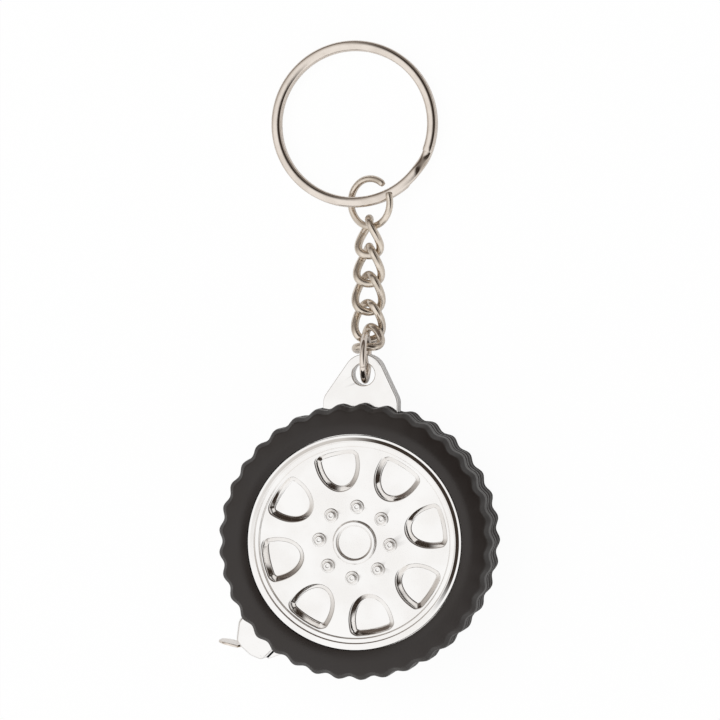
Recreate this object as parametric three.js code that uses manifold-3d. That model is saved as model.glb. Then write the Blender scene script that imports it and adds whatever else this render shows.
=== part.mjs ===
// A keychain tape measure shaped like a car wheel, with its curb chain and split key ring.
// Millimetres, +Z up. It lies on its back: the wheel's axis is the Z axis, the chain runs along +Y.
// The origin is the centre of the back, and the tape pulls out at the lower left, towards -X.
import * as THREE from "three";
import { mergeVertices } from "three/addons/utils/BufferGeometryUtils.js";
import Module from "manifold-3d";

const wasm = await Module();
wasm.setup();

// The blade sets the size of all that is wound round it.
const bladeLength = 1000;
const bladeWidth = 6;
const bladeThickness = 0.12;

// Reel, along the radius and then along the axis
const drumRadius = 13;
const drumWall = 0.8;
const flangeRise = 0.5;
const flangeThickness = 0.7;
const flangeGap = 0.3;
const coverLipDepth = 0.7;
const coverLipWall = 0.8;

// Arbor, its screw and the spring between arbor and drum
const arborRadius = 1.7;
const arborBore = 1.15;
const arborSlit = 0.7;
const screwRadius = 1;
const screwHeadRadius = 1.9;
const screwHeadDepth = 0.7;
const bossRadius = 2.6;
const bossHeight = 0.9;
const springThickness = 0.25;
const springSideGap = 0.5;
const springTurns = 6;

// Case
const caseWall = 0.9;
const caseRimWall = 1;
const partingGap = 0.05;

// Clearances
const runningGap = 0.2;
const pivotGap = 0.08;
const seatGap = 0.06;
const fitGap = 0.15;
const looseGap = 0.3;
const overrun = 2;

// Tyre
const tyreThickness = 4.06;
const tyreSeam = 0.3;
const seamDepth = 0.6;
const seamChamfer = 0.75;
const scallopCount = 37;
const scallopDepth = 0.52;
const scallopPhase = THREE.MathUtils.degToRad(30);
const shoulderDrop = 1.6;
const shoulderWidth = 0.7;
const sidewallDrop = 0.7;
const lipWidth = 0.75;
const lipChamfer = 0.3;

// Wheel cap
const capDepth = 1.9;
const capInset = 0.5;
const capRimDrop = 0.2;
const beadWidth = 0.7;
const beadCrown = 0.25;
const grooveWidth = 0.15;
const grooveDepth = 0.4;
const ringWidth = 0.9;
const ringDrop = 0.35;
const discDrop = 0.8;
const hubRingRadius = 3.15;
const hubRingWidth = 0.75;
const hubRingRise = 0.5;
const hubFloorRise = 0.4;
const windowCount = 8;
const windowTurn = THREE.MathUtils.degToRad(13);
const windowRimMargin = 0.54;
const windowHubMargin = 1.3;
const windowWidth = 6.6;
const windowShoulder = 1.3;
const windowDraftShare = 1.08;
const nutCount = 8;
const nutTurn = THREE.MathUtils.degToRad(-3);
const nutCircle = 5.2;
const nutRoot = 0.15;
const nutCollarRadius = 1;
const nutCollarHeight = 0.22;
const nutRadius = 0.62;
const nutHeight = 0.6;

// Lug at the top of the case
const lugReach = 4.14;
const lugHoleRadius = 1.65;
const lugTipRadius = 2.95;
const lugTipShift = 0.4;
const lugHalfWidth = 5.5;
const lugCorner = 2.4;
const lugThickness = 4;

// Mouth of the tape, its slot, and the tab on the tape's end
const pullAngle = THREE.MathUtils.degToRad(4.7);
const leadGap = 0.15;
const slotGap = 0.2;
const mouthWall = 1.2;
const mouthStep = 0.7;
const tabLength = 3.1;
const tabWidth = 7;
const tabThickness = 0.35;
const tabCorner = 1.6;
const tabBend = THREE.MathUtils.degToRad(17);
const tongueLength = 3.2;
const tongueWidth = 5;
const rivetRadius = 0.6;
const rivetHeadRadius = 1;
const rivetHeadHeight = 0.15;

// Chain and rings
const linkWire = 1.2;
const linkLength = 6.7;
const linkWidth = 5.3;
const linkTwist = 0.86;
const linkSlack = 0.15;
const lugRingWire = 0.95;
const lugRingDiameter = 7.6;
const jumpWire = 1.05;
const jumpDiameter = 8.1;
const jumpOpening = THREE.MathUtils.degToRad(24);
const jumpOpeningAt = THREE.MathUtils.degToRad(37);
const keyRingDiameter = 24.6;
const keyWireWidth = 1.5;
const keyWireHeight = 0.8;
const keyTurnGap = 0.42;
const keyStepStart = THREE.MathUtils.degToRad(335);
const keyStepEnd = THREE.MathUtils.degToRad(358);
const keyWireEnd = THREE.MathUtils.degToRad(693);
const keyRingTurn = THREE.MathUtils.degToRad(-20);

// How the links and rings lie, in degrees, from the lug to the key ring
const linkLies = [
  { name: "chain_link_5", lean: 112, roll: 0, turn: 38 },
  { name: "chain_link_4", lean: 3, roll: -14, turn: 0 },
  { name: "chain_link_3", lean: 0, roll: -22, turn: 0 },
  { name: "chain_link_2", lean: 0, roll: -36, turn: 0 },
  { name: "chain_link_1", lean: 1, roll: -49, turn: 0 },
];
const jumpLie = { lean: 1, roll: -29, turn: 0 };
const keyLie = { lean: -3, roll: 0, turn: 0 };

// Where the standing link hooks the lug ring, in shares of that ring's radius, and where the lying
// link below hooks its lower end, in shares of the wire
const hookShares = [0.137, 0.47, -0.255];
const footShares = [0.49, -0.56, 0.91];

// Where the jump ring hooks the last link, in shares of its wire, and where the key ring hooks the
// jump ring, in shares of that ring's radius
const jumpShares = [0.15, -1.16, 0.1];
const keyShares = [-0.742, 0.001, -0.018];

// How finely round shapes are faceted
const roundSteps = 48;
const hiddenSteps = 36;
const scallopSteps = 4;
const smallSteps = 20;
const nutSteps = 8;
const wireSides = 8;
const loopSteps = 22;
const keyRingSteps = 52;
const gapSampleShare = 10;
const springStepsPerTurn = 16;
const outlineSteps = 4;
const lugTipSteps = 10;
const lugCornerSteps = 3;
const angleNudge = 1e-4;
const mergeDistance = 1e-4;

// Worked out from the values above
const packArea = bladeLength * bladeThickness;
const packRadius = Math.sqrt(drumRadius ** 2 + packArea / Math.PI);
const flangeRadius = packRadius + flangeRise;
const cavityRadius = flangeRadius + looseGap;
const caseRadius = cavityRadius + caseRimWall;
const tyreBore = caseRadius + fitGap;
const tyreRadius = caseRadius + tyreThickness;
const reelHalfWidth = bladeWidth / 2 + flangeGap;
const flangeOuter = reelHalfWidth + flangeThickness;
const cavityHalfDepth = flangeOuter + runningGap;
const caseHalfDepth = cavityHalfDepth + caseWall;
const halfWidth = caseHalfDepth + capDepth;
const capRadius = caseRadius - capInset;
const capBack = caseHalfDepth + seatGap;
const lugHoleY = tyreRadius + lugReach;
const springWidth = bladeWidth - 2 * springSideGap;
const slotWidth = bladeWidth + 2 * looseGap;
const mouthHalfDepth = slotWidth / 2 + mouthWall;
const ringOuter = capRadius - beadWidth - grooveWidth;
const windowOuter = ringOuter - ringWidth - windowRimMargin;
const windowInner = nutCircle + nutCollarRadius + windowHubMargin;

// The pull line: a tangent of the wound tape, which leaves the drum downwards at the pull angle.
const leadOffset = packRadius + leadGap + bladeThickness / 2;
const tongueFace = bladeThickness / 2 + seatGap;
const slotInner = tongueFace + tabThickness + seatGap + rivetHeadHeight + slotGap;
const slotOuter = tongueFace + rivetHeadHeight + slotGap;
const pullDirection = new THREE.Vector2(-Math.cos(pullAngle), -Math.sin(pullAngle));
const pullNormal = new THREE.Vector2(Math.sin(pullAngle), -Math.cos(pullAngle));

const finish = {
  tyre: new THREE.MeshStandardMaterial({ color: 0x3e3a37, roughness: 0.55, metalness: 0 }),
  chrome: new THREE.MeshStandardMaterial({ color: 0xf0efee, roughness: 0.08, metalness: 1 }),
  nickel: new THREE.MeshStandardMaterial({ color: 0xcbbfb2, roughness: 0.2, metalness: 1 }),
  steel: new THREE.MeshStandardMaterial({ color: 0x9fa1a3, roughness: 0.35, metalness: 1 }),
  springSteel: new THREE.MeshStandardMaterial({ color: 0x5c6470, roughness: 0.3, metalness: 1 }),
  blade: new THREE.MeshStandardMaterial({ color: 0xf2d23c, roughness: 0.4, metalness: 0 }),
  plastic: new THREE.MeshStandardMaterial({ color: 0x2b2b2d, roughness: 0.6, metalness: 0 }),
};

// A closed geometry as a solid, turned the right way out.
function solidOf(geometry) {
  const bare = geometry.index ? geometry.toNonIndexed() : geometry.clone();
  for (const name of Object.keys(bare.attributes)) {
    if (name !== "position") bare.deleteAttribute(name);
  }
  const merged = mergeVertices(bare, mergeDistance);
  const corners = merged.index.array;
  const triVerts = [];
  for (let i = 0; i < corners.length; i += 3) {
    const [a, b, c] = [corners[i], corners[i + 1], corners[i + 2]];
    if (a !== b && b !== c && c !== a) triVerts.push(a, b, c);
  }
  const vertProperties = merged.attributes.position.array;
  const make = (order) =>
    new wasm.Manifold(
      new wasm.Mesh({ numProp: 3, vertProperties, triVerts: new Uint32Array(order) }),
    );
  const made = make(triVerts);
  return made.volume() < 0 ? make(triVerts.reverse()) : made;
}

function geometryOf(solid) {
  const mesh = solid.getMesh();
  const geometry = new THREE.BufferGeometry();
  geometry.setAttribute("position", new THREE.BufferAttribute(mesh.vertProperties, 3));
  geometry.setIndex(new THREE.BufferAttribute(mesh.triVerts, 1));
  geometry.computeVertexNormals();
  return geometry;
}

// A turned piece about Z from [radius, height] pairs.
function turned(profile, steps = roundSteps) {
  const first = profile[0];
  const last = profile[profile.length - 1];
  const onAxis = first[0] === 0 && last[0] === 0;
  const points = onAxis ? profile : [...profile, first];
  const geometry = new THREE.LatheGeometry(
    points.map(([radius, height]) => new THREE.Vector2(radius, height)),
    steps,
  );
  return geometry.rotateX(Math.PI / 2);
}

// A flat outline in the XY plane, drawn out along Z from low to high.
function prism(outline, low, high, curveSegments = smallSteps) {
  const shape = outline instanceof THREE.Shape ? outline : new THREE.Shape(outline);
  const geometry = new THREE.ExtrudeGeometry(shape, {
    depth: high - low,
    bevelEnabled: false,
    curveSegments,
  });
  return geometry.translate(0, 0, low);
}

function rod(radius, low, high, steps = smallSteps) {
  const cylinder = new THREE.CylinderGeometry(radius, radius, high - low, steps);
  return cylinder.rotateX(Math.PI / 2).translate(0, 0, (low + high) / 2);
}

// An outline made larger all round by a margin, corner by corner.
function grown(points, margin) {
  const turn = THREE.ShapeUtils.area(points) > 0 ? 1 : -1;
  return points.map((point, i) => {
    const before = points[(i + points.length - 1) % points.length];
    const after = points[(i + 1) % points.length];
    const incoming = point.clone().sub(before).normalize();
    const outgoing = after.clone().sub(point).normalize();
    const normalIn = new THREE.Vector2(incoming.y, -incoming.x).multiplyScalar(turn);
    const normalOut = new THREE.Vector2(outgoing.y, -outgoing.x).multiplyScalar(turn);
    const miter = normalIn.clone().add(normalOut).normalize();
    return point.clone().addScaledVector(miter, margin / miter.dot(normalIn));
  });
}

// A point on the pull line, a distance along it and an offset away from the wheel's axis.
function onPullLine(along, away = 0) {
  return pullNormal
    .clone()
    .multiplyScalar(leadOffset + away)
    .addScaledVector(pullDirection, along);
}

// A bar along the pull line, between two distances along it and two offsets from it.
function pullBar(start, end, inner, outer, halfDepth) {
  const outline = [
    onPullLine(start, inner),
    onPullLine(end, inner),
    onPullLine(end, outer),
    onPullLine(start, outer),
  ];
  return prism(outline, -halfDepth, halfDepth);
}

// Points of an arc about a centre, from one angle to another
function arc(x, y, radius, from, to, steps) {
  const points = [];
  for (let i = 0; i <= steps; i++) {
    const angle = from + ((to - from) * i) / steps;
    points.push(new THREE.Vector2(x + radius * Math.cos(angle), y + radius * Math.sin(angle)));
  }
  return points;
}

// The lug's outline: a round tip about the hole, and straight sides that bend down into the tyre.
// One side is drawn with the tip to its right and the other mirrored, so the tip may stand off centre.
function lugSide(tipX) {
  const cornerX = lugHalfWidth - lugCorner;
  const cornerY = tyreRadius - seatGap;
  const drop = lugHoleY - cornerY;
  const across = cornerX - tipX;
  const spread = Math.acos((lugTipRadius - lugCorner) / Math.hypot(across, drop));
  const sideTurn = spread - Math.atan2(drop, across);
  const foot = new THREE.Vector2(lugHalfWidth, cavityRadius);
  const corner = arc(cornerX, cornerY, lugCorner, 0, sideTurn, lugCornerSteps);
  return { sideTurn, points: [foot, ...corner] };
}

function lugOutline() {
  const right = lugSide(lugTipShift);
  const left = lugSide(-lugTipShift);
  const end = Math.PI - left.sideTurn;
  const tip = arc(lugTipShift, lugHoleY, lugTipRadius, right.sideTurn, end, lugTipSteps);
  const mirrored = left.points.map((point) => new THREE.Vector2(-point.x, point.y)).reverse();
  return [...right.points, ...tip, ...mirrored];
}

// The mouth's outline outside the tyre, in shares of the tyre's radius, and its feet on the case.
const mouthShares = [
  [-0.62, -0.45],
  [-0.847, -0.572],
  [-0.864, -0.732],
  [-0.823, -0.783],
  [-0.761, -0.837],
  [-0.69, -0.865],
  [-0.665, -0.86],
  [-0.612, -0.806],
  [-0.45, -0.64],
];
const mouthStepShares = [
  [-0.58, -0.55],
  [-0.69, -0.822],
  [-0.66, -0.855],
  [-0.629, -0.862],
  [-0.552, -0.832],
  [-0.3, -0.8],
  [-0.3, -0.72],
];

function sharesOfTyre(shares) {
  return shares.map(([x, y]) => new THREE.Vector2(x * tyreRadius, y * tyreRadius));
}

// Everything of the mouth's outside, grown by a margin: the block, its lower step and the duct.
function mouthBlock(margin) {
  const halfDepth = mouthHalfDepth + margin;
  const block = solidOf(prism(grown(sharesOfTyre(mouthShares), margin), -halfDepth, halfDepth));
  const step = solidOf(
    prism(
      grown(sharesOfTyre(mouthStepShares), margin),
      -halfDepth + mouthStep,
      halfDepth - mouthStep,
    ),
  );
  return block.add(step);
}

function lugBlock(margin) {
  const halfDepth = lugThickness / 2 + margin;
  return solidOf(prism(grown(lugOutline(), margin), -halfDepth, halfDepth));
}

// Half of a solid, on one side of the parting plane.
function halfOf(solid, side) {
  const reach = 2 * tyreRadius;
  const low = side > 0 ? partingGap / 2 : -reach;
  const high = side > 0 ? reach : -partingGap / 2;
  return solid.intersect(solidOf(rod(reach, low, high)));
}

// One half of the case: a cup with a bearing boss, half of the lug and half of the mouth.
function caseHalf(side) {
  const low = partingGap / 2;
  const bossEnd = cavityHalfDepth - bossHeight;
  const cup = turned([
    [0, caseHalfDepth],
    [caseRadius, caseHalfDepth],
    [caseRadius, low],
    [cavityRadius, low],
    [cavityRadius, cavityHalfDepth],
    [bossRadius, cavityHalfDepth],
    [bossRadius, bossEnd],
    [0, bossEnd],
  ]);
  let shell = solidOf(side > 0 ? cup : cup.rotateX(Math.PI));
  const cavity = solidOf(rod(cavityRadius + caseRimWall / 2, -halfWidth, halfWidth, roundSteps));
  const outside = mouthBlock(0).add(lugBlock(0)).subtract(cavity);
  shell = shell.add(halfOf(outside, side));
  const lugHole = rod(lugHoleRadius, -halfWidth, halfWidth);
  shell = shell.subtract(solidOf(lugHole.translate(lugTipShift, lugHoleY, 0)));
  const slot = pullBar(0, 2 * tyreRadius, -slotInner, slotOuter, slotWidth / 2);
  shell = shell.subtract(solidOf(slot));
  const screwRoom = screwRadius + pivotGap;
  if (side > 0) {
    const shank = rod(screwRoom, 0, 2 * halfWidth);
    const seat = rod(screwHeadRadius + seatGap, caseHalfDepth - screwHeadDepth, halfWidth);
    return shell.subtract(solidOf(shank)).subtract(solidOf(seat));
  }
  return shell.subtract(solidOf(rod(screwRoom, -cavityHalfDepth, 0)));
}

// One half of the tyre, with a scalloped tread, a lip round the wheel cap and a chamfer at the seam.
function tyreHalf(side) {
  const lipInner = capRadius + fitGap;
  const lipSeat = caseHalfDepth + seatGap;
  const shoulderHeight = halfWidth - shoulderDrop;
  const profile = [
    [tyreBore, tyreSeam / 2],
    [tyreBore, lipSeat],
    [lipInner, lipSeat],
    [lipInner, halfWidth - lipChamfer],
    [lipInner + lipChamfer, halfWidth],
    [lipInner + lipChamfer + lipWidth, halfWidth],
    [tyreRadius - shoulderWidth, halfWidth - sidewallDrop],
    [tyreRadius, shoulderHeight],
    [tyreRadius, tyreSeam / 2 + seamChamfer],
    [tyreRadius - seamDepth, tyreSeam / 2],
  ];
  const geometry = turned(profile, scallopCount * scallopSteps);
  const position = geometry.getAttribute("position");
  const smoothTo = lipInner + lipChamfer + lipWidth;
  for (let i = 0; i < position.count; i++) {
    const x = position.getX(i);
    const y = position.getY(i);
    const radius = Math.hypot(x, y);
    const share = THREE.MathUtils.smoothstep(radius, smoothTo, tyreRadius - shoulderWidth);
    const wave = (1 - Math.cos(scallopCount * Math.atan2(y, x) - scallopPhase)) / 2;
    const scale = 1 - (scallopDepth * share * wave) / radius;
    position.setXYZ(i, x * scale, y * scale, side * position.getZ(i));
  }
  return solidOf(geometry).subtract(mouthBlock(looseGap)).subtract(lugBlock(looseGap));
}

// A window of the wheel cap: straight along the rim, round towards the hub, wider at the top.
function windowCutter(turn) {
  const half = windowWidth / 2;
  const shoulder = windowOuter - windowShoulder;
  const shape = new THREE.Shape();
  shape.moveTo(-half, shoulder);
  shape.quadraticCurveTo(-half, windowOuter, -half + windowShoulder, windowOuter);
  shape.lineTo(half - windowShoulder, windowOuter);
  shape.quadraticCurveTo(half, windowOuter, half, shoulder);
  shape.absellipse(0, shoulder, half, shoulder - windowInner, 0, Math.PI, true);
  const low = capBack - overrun;
  const high = halfWidth + overrun;
  const geometry = prism(shape, low, high, outlineSteps);
  const position = geometry.getAttribute("position");
  const middle = (windowOuter + windowInner) / 2;
  for (let i = 0; i < position.count; i++) {
    const scale = position.getZ(i) > (low + high) / 2 ? windowDraftShare : 1;
    position.setX(i, position.getX(i) * scale);
    position.setY(i, middle + (position.getY(i) - middle) * scale);
  }
  return solidOf(geometry.rotateZ(turn - Math.PI / 2));
}

// The wheel cap: bead, groove and ring at the rim, then a disc with windows, nuts and a hub ring.
function wheelCap(side) {
  const rimTop = halfWidth - capRimDrop;
  const discTop = halfWidth - discDrop;
  const beadInner = capRadius - beadWidth;
  const ringTop = halfWidth - ringDrop;
  const hubInner = hubRingRadius - hubRingWidth;
  let cap = solidOf(
    turned([
      [0, capBack],
      [capRadius, capBack],
      [capRadius, rimTop - beadCrown],
      [capRadius - beadCrown, rimTop],
      [beadInner + beadCrown, rimTop],
      [beadInner, rimTop - beadCrown],
      [beadInner, rimTop - grooveDepth],
      [ringOuter, rimTop - grooveDepth],
      [ringOuter, ringTop],
      [ringOuter - ringWidth, ringTop],
      [ringOuter - ringWidth, discTop],
      [hubRingRadius, discTop],
      [hubRingRadius, discTop + hubRingRise],
      [hubInner, discTop + hubRingRise],
      [hubInner, discTop + hubFloorRise],
      [0, discTop + hubFloorRise],
    ]),
  );
  for (let i = 0; i < windowCount; i++) {
    cap = cap.subtract(windowCutter(windowTurn + (i * 2 * Math.PI) / windowCount));
  }
  for (let i = 0; i < nutCount; i++) {
    const angle = nutTurn + (i * 2 * Math.PI) / nutCount;
    const nut = turned(
      [
        [0, discTop - nutRoot],
        [nutCollarRadius, discTop - nutRoot],
        [nutCollarRadius, discTop + nutCollarHeight],
        [nutRadius, discTop + nutCollarHeight],
        [nutRadius, discTop + nutHeight],
        [0, discTop + nutHeight],
      ],
      nutSteps,
    );
    nut.translate(nutCircle * Math.cos(angle), nutCircle * Math.sin(angle), 0);
    cap = cap.add(solidOf(nut));
  }
  return side > 0 ? cap : solidOf(geometryOf(cap).rotateX(Math.PI));
}

// The drum with the rear flange. It turns on the case's boss.
function tapeReel() {
  const bore = bossRadius + pivotGap;
  const rear = -reelHalfWidth;
  return solidOf(
    turned(
      [
        [bore, -flangeOuter],
        [flangeRadius, -flangeOuter],
        [flangeRadius, rear],
        [drumRadius, rear],
        [drumRadius, reelHalfWidth - seatGap],
        [drumRadius - drumWall, reelHalfWidth - seatGap],
        [drumRadius - drumWall, rear],
        [bore, rear],
      ],
      hiddenSteps,
    ),
  );
}

// The front flange, a disc whose lip sits inside the drum.
function reelCover() {
  const bore = bossRadius + pivotGap;
  const lipOuter = drumRadius - drumWall - seatGap;
  return solidOf(
    turned(
      [
        [bore, reelHalfWidth],
        [lipOuter - coverLipWall, reelHalfWidth],
        [lipOuter - coverLipWall, reelHalfWidth - coverLipDepth],
        [lipOuter, reelHalfWidth - coverLipDepth],
        [lipOuter, reelHalfWidth],
        [flangeRadius, reelHalfWidth],
        [flangeRadius, flangeOuter],
        [bore, flangeOuter],
      ],
      hiddenSteps,
    ),
  );
}

function woundTape() {
  const half = bladeWidth / 2;
  const inner = drumRadius + seatGap;
  return solidOf(
    turned(
      [
        [inner, -half],
        [packRadius, -half],
        [packRadius, half],
        [inner, half],
      ],
      hiddenSteps,
    ),
  );
}

// The hollow, slit post between the two bosses, which holds the spring's inner end.
function centreArbor() {
  const half = cavityHalfDepth - bossHeight - seatGap;
  const tube = solidOf(
    turned(
      [
        [arborBore, -half],
        [arborRadius, -half],
        [arborRadius, half],
        [arborBore, half],
      ],
      smallSteps,
    ),
  );
  const slit = new THREE.BoxGeometry(2 * arborRadius, arborSlit, 2 * halfWidth);
  return tube.subtract(solidOf(slit.translate(arborRadius, 0, 0)));
}

function centreScrew() {
  const headTop = caseHalfDepth;
  const headBottom = headTop - screwHeadDepth + seatGap;
  const tip = bossHeight / 2 - cavityHalfDepth;
  return solidOf(
    turned(
      [
        [0, tip],
        [screwRadius, tip],
        [screwRadius, headBottom],
        [screwHeadRadius, headBottom],
        [screwHeadRadius, headTop],
        [0, headTop],
      ],
      smallSteps,
    ),
  );
}

// A flat spiral spring, with its inner end turned into the arbor's slit.
function returnSpring() {
  const inner = arborRadius + springThickness + looseGap;
  const outer = drumRadius - drumWall - coverLipWall - springThickness - looseGap;
  const steps = springTurns * springStepsPerTurn;
  const sides = [[], []];
  for (let i = 0; i <= steps; i++) {
    const angle = (i / springStepsPerTurn) * 2 * Math.PI;
    const radius = inner + ((outer - inner) * i) / steps;
    for (const [side, offset] of [-springThickness / 2, springThickness / 2].entries()) {
      const r = radius + offset;
      sides[side].push(new THREE.Vector2(r * Math.cos(angle), r * Math.sin(angle)));
    }
  }
  const half = springWidth / 2;
  const spiral = solidOf(prism([...sides[0], ...sides[1].reverse()], -half, half));
  const hookStart = (arborBore + arborRadius) / 2;
  const hookLength = inner - hookStart;
  const hook = new THREE.BoxGeometry(hookLength, springThickness, springWidth);
  return spiral.add(solidOf(hook.translate(hookStart + hookLength / 2, 0, 0)));
}

// Where the blade ends and the tab takes over, along the pull line
const mouthEnd = mouthReach() + runningGap;
const bladeEnd = mouthEnd - tabThickness;
const rivetAt = bladeEnd - tongueLength / 2;

// How far along the pull line the mouth reaches
function mouthReach() {
  return Math.max(...sharesOfTyre(mouthShares).map((point) => point.dot(pullDirection)));
}

function rivetHole(radius) {
  const cylinder = new THREE.CylinderGeometry(radius, radius, 2 * slotInner, smallSteps);
  const place = onPullLine(rivetAt);
  return solidOf(cylinder.rotateZ(pullAngle).translate(place.x, place.y, 0));
}

function tapeLead() {
  const bar = pullBar(0, bladeEnd, -bladeThickness / 2, bladeThickness / 2, bladeWidth / 2);
  return solidOf(bar).subtract(rivetHole(rivetRadius + pivotGap));
}

// The tab: a tongue on the inner face of the blade, and a wide plate outside the mouth, bent up.
function pullTab() {
  const inner = -tongueFace - tabThickness;
  const outer = -tongueFace;
  const start = bladeEnd - tongueLength;
  const tongue = solidOf(pullBar(start, mouthEnd, inner, outer, tongueWidth / 2));
  const half = tabWidth / 2;
  const shape = new THREE.Shape();
  shape.moveTo(0, -half);
  shape.lineTo(tabLength - tabCorner, -half);
  shape.quadraticCurveTo(tabLength, -half, tabLength, -half + tabCorner);
  shape.lineTo(tabLength, half - tabCorner);
  shape.quadraticCurveTo(tabLength, half, tabLength - tabCorner, half);
  shape.lineTo(0, half);
  const plate = prism(shape, 0, tabThickness, outlineSteps);
  const root = onPullLine(mouthEnd - tabThickness / 2, inner);
  plate.rotateX(-Math.PI / 2);
  plate.rotateZ(Math.PI + pullAngle - tabBend);
  plate.translate(root.x, root.y, 0);
  return tongue.add(solidOf(plate)).subtract(rivetHole(rivetRadius + pivotGap));
}

function tabRivet() {
  const innerFace = -tongueFace - tabThickness - seatGap;
  const outerFace = tongueFace;
  const profile = [
    [0, innerFace - rivetHeadHeight],
    [rivetHeadRadius, innerFace - rivetHeadHeight],
    [rivetHeadRadius, innerFace],
    [rivetRadius, innerFace],
    [rivetRadius, outerFace],
    [rivetHeadRadius, outerFace],
    [rivetHeadRadius, outerFace + rivetHeadHeight],
    [0, outerFace + rivetHeadHeight],
  ];
  const rivet = turned(profile, smallSteps).rotateX(Math.PI / 2).rotateZ(pullAngle);
  const place = onPullLine(rivetAt);
  return solidOf(rivet.translate(place.x, place.y, 0));
}

// A closed wire loop about a centre line given by an angle, from a torus whose ring is led along it.
function loop(wire, centreLine, steps = loopSteps) {
  const geometry = new THREE.TorusGeometry(1, 0.5, wireSides, steps);
  const position = geometry.getAttribute("position");
  const up = new THREE.Vector3(0, 0, 1);
  for (let i = 0; i < position.count; i++) {
    const x = position.getX(i);
    const y = position.getY(i);
    const angle = Math.atan2(y, x);
    const before = centreLine(angle - angleNudge);
    const along = centreLine(angle + angleNudge).sub(before).normalize();
    const outward = along.clone().cross(up).normalize();
    const upward = outward.clone().cross(along);
    const point = centreLine(angle)
      .addScaledVector(outward, wire * (Math.hypot(x, y) - 1))
      .addScaledVector(upward, wire * position.getZ(i));
    position.setXYZ(i, point.x, point.y, point.z);
  }
  return geometry;
}

function curbLink() {
  const a = (linkWidth - linkWire) / 2;
  const b = (linkLength - linkWire) / 2;
  const centreLine = (angle) =>
    new THREE.Vector3(
      a * Math.cos(angle),
      b * Math.sin(angle),
      linkTwist * Math.sin(2 * angle),
    );
  return solidOf(loop(linkWire, centreLine));
}

function lugRing() {
  const tube = lugRingWire / 2;
  const torus = new THREE.TorusGeometry(lugRingDiameter / 2 - tube, tube, wireSides, loopSteps);
  return solidOf(torus.rotateY(Math.PI / 2));
}

// A curve round a ring from one angle to another, at a height that may change on the way.
class RingCurve extends THREE.Curve {
  constructor(radius, start, end, height = () => 0) {
    super();
    this.radius = radius;
    this.start = start;
    this.end = end;
    this.height = height;
  }

  getPoint(share, target = new THREE.Vector3()) {
    const angle = this.start + (this.end - this.start) * share;
    return target.set(
      this.radius * Math.cos(angle),
      this.radius * Math.sin(angle),
      this.height(angle - this.start),
    );
  }
}

function roundSection(radius) {
  const points = [];
  for (let i = 0; i < wireSides; i++) {
    const angle = ((i + 0.5) * 2 * Math.PI) / wireSides;
    points.push(new THREE.Vector2(radius * Math.cos(angle), radius * Math.sin(angle)));
  }
  return new THREE.Shape(points);
}

function jumpRing() {
  const start = jumpOpeningAt + jumpOpening / 2;
  const end = jumpOpeningAt - jumpOpening / 2 + 2 * Math.PI;
  const path = new RingCurve((jumpDiameter - jumpWire) / 2, start, end);
  return solidOf(
    new THREE.ExtrudeGeometry(roundSection(jumpWire / 2), {
      steps: loopSteps,
      extrudePath: path,
      bevelEnabled: false,
    }),
  );
}

// The split ring's centre line: a turn on the upper layer, a step down, and a turn on the lower one.
const keyLayer = (keyWireHeight + keyTurnGap) / 2;
const keyRadius = (keyRingDiameter - keyWireWidth) / 2;

function keyHeight(angle) {
  return keyLayer * (1 - 2 * THREE.MathUtils.smoothstep(angle, keyStepStart, keyStepEnd));
}

function keyPath() {
  const end = keyRingTurn + keyWireEnd;
  return new RingCurve(keyRadius, keyRingTurn, end, keyHeight);
}

function keyRing() {
  const high = keyWireHeight / 2;
  const wide = keyWireWidth / 2;
  const cut = keyWireHeight / 4;
  const section = new THREE.Shape([
    new THREE.Vector2(-high, -wide + cut),
    new THREE.Vector2(-high + cut, -wide),
    new THREE.Vector2(high - cut, -wide),
    new THREE.Vector2(high, -wide + cut),
    new THREE.Vector2(high, wide - cut),
    new THREE.Vector2(high - cut, wide),
    new THREE.Vector2(-high + cut, wide),
    new THREE.Vector2(-high, wide - cut),
  ]);
  return solidOf(
    new THREE.ExtrudeGeometry(section, {
      steps: keyRingSteps,
      extrudePath: keyPath(),
      bevelEnabled: false,
    }),
  );
}

// The least gap between the split ring's two turns, measured on points of its centre line.
function keyRingSelfGap() {
  const count = gapSampleShare * keyRingSteps;
  const points = keyPath().getPoints(count);
  const halfTurn = Math.round((Math.PI * count) / keyWireEnd);
  let least = Infinity;
  for (let i = 0; i < points.length; i++) {
    for (let j = i + halfTurn; j < points.length; j++) {
      least = Math.min(least, points[i].distanceTo(points[j]));
    }
  }
  return least - keyWireHeight;
}

console.log("key ring: least gap between its turns", keyRingSelfGap().toFixed(3), "mm");

const keychain = new THREE.Group();
const wheel = new THREE.Group();
wheel.position.z = halfWidth;
keychain.add(wheel);

function addPiece(parent, name, solid, material) {
  const mesh = new THREE.Mesh(geometryOf(solid), material);
  mesh.name = name;
  parent.add(mesh);
  return mesh;
}

for (const [place, side] of [
  ["front", 1],
  ["rear", -1],
]) {
  addPiece(wheel, `tyre_${place}`, tyreHalf(side), finish.tyre);
  addPiece(wheel, `wheel_cap_${place}`, wheelCap(side), finish.chrome);
  addPiece(wheel, `case_${place}`, caseHalf(side), finish.chrome);
}
addPiece(wheel, "centre_arbor", centreArbor(), finish.steel);
addPiece(wheel, "centre_screw", centreScrew(), finish.steel);
addPiece(wheel, "return_spring", returnSpring(), finish.springSteel);
addPiece(wheel, "tape_reel", tapeReel(), finish.plastic);
addPiece(wheel, "reel_cover", reelCover(), finish.plastic);
addPiece(wheel, "tape_wound", woundTape(), finish.blade);
addPiece(wheel, "tape_lead", tapeLead(), finish.blade);
addPiece(wheel, "pull_tab", pullTab(), finish.nickel);
addPiece(wheel, "tab_rivet", tabRivet(), finish.nickel);

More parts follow.
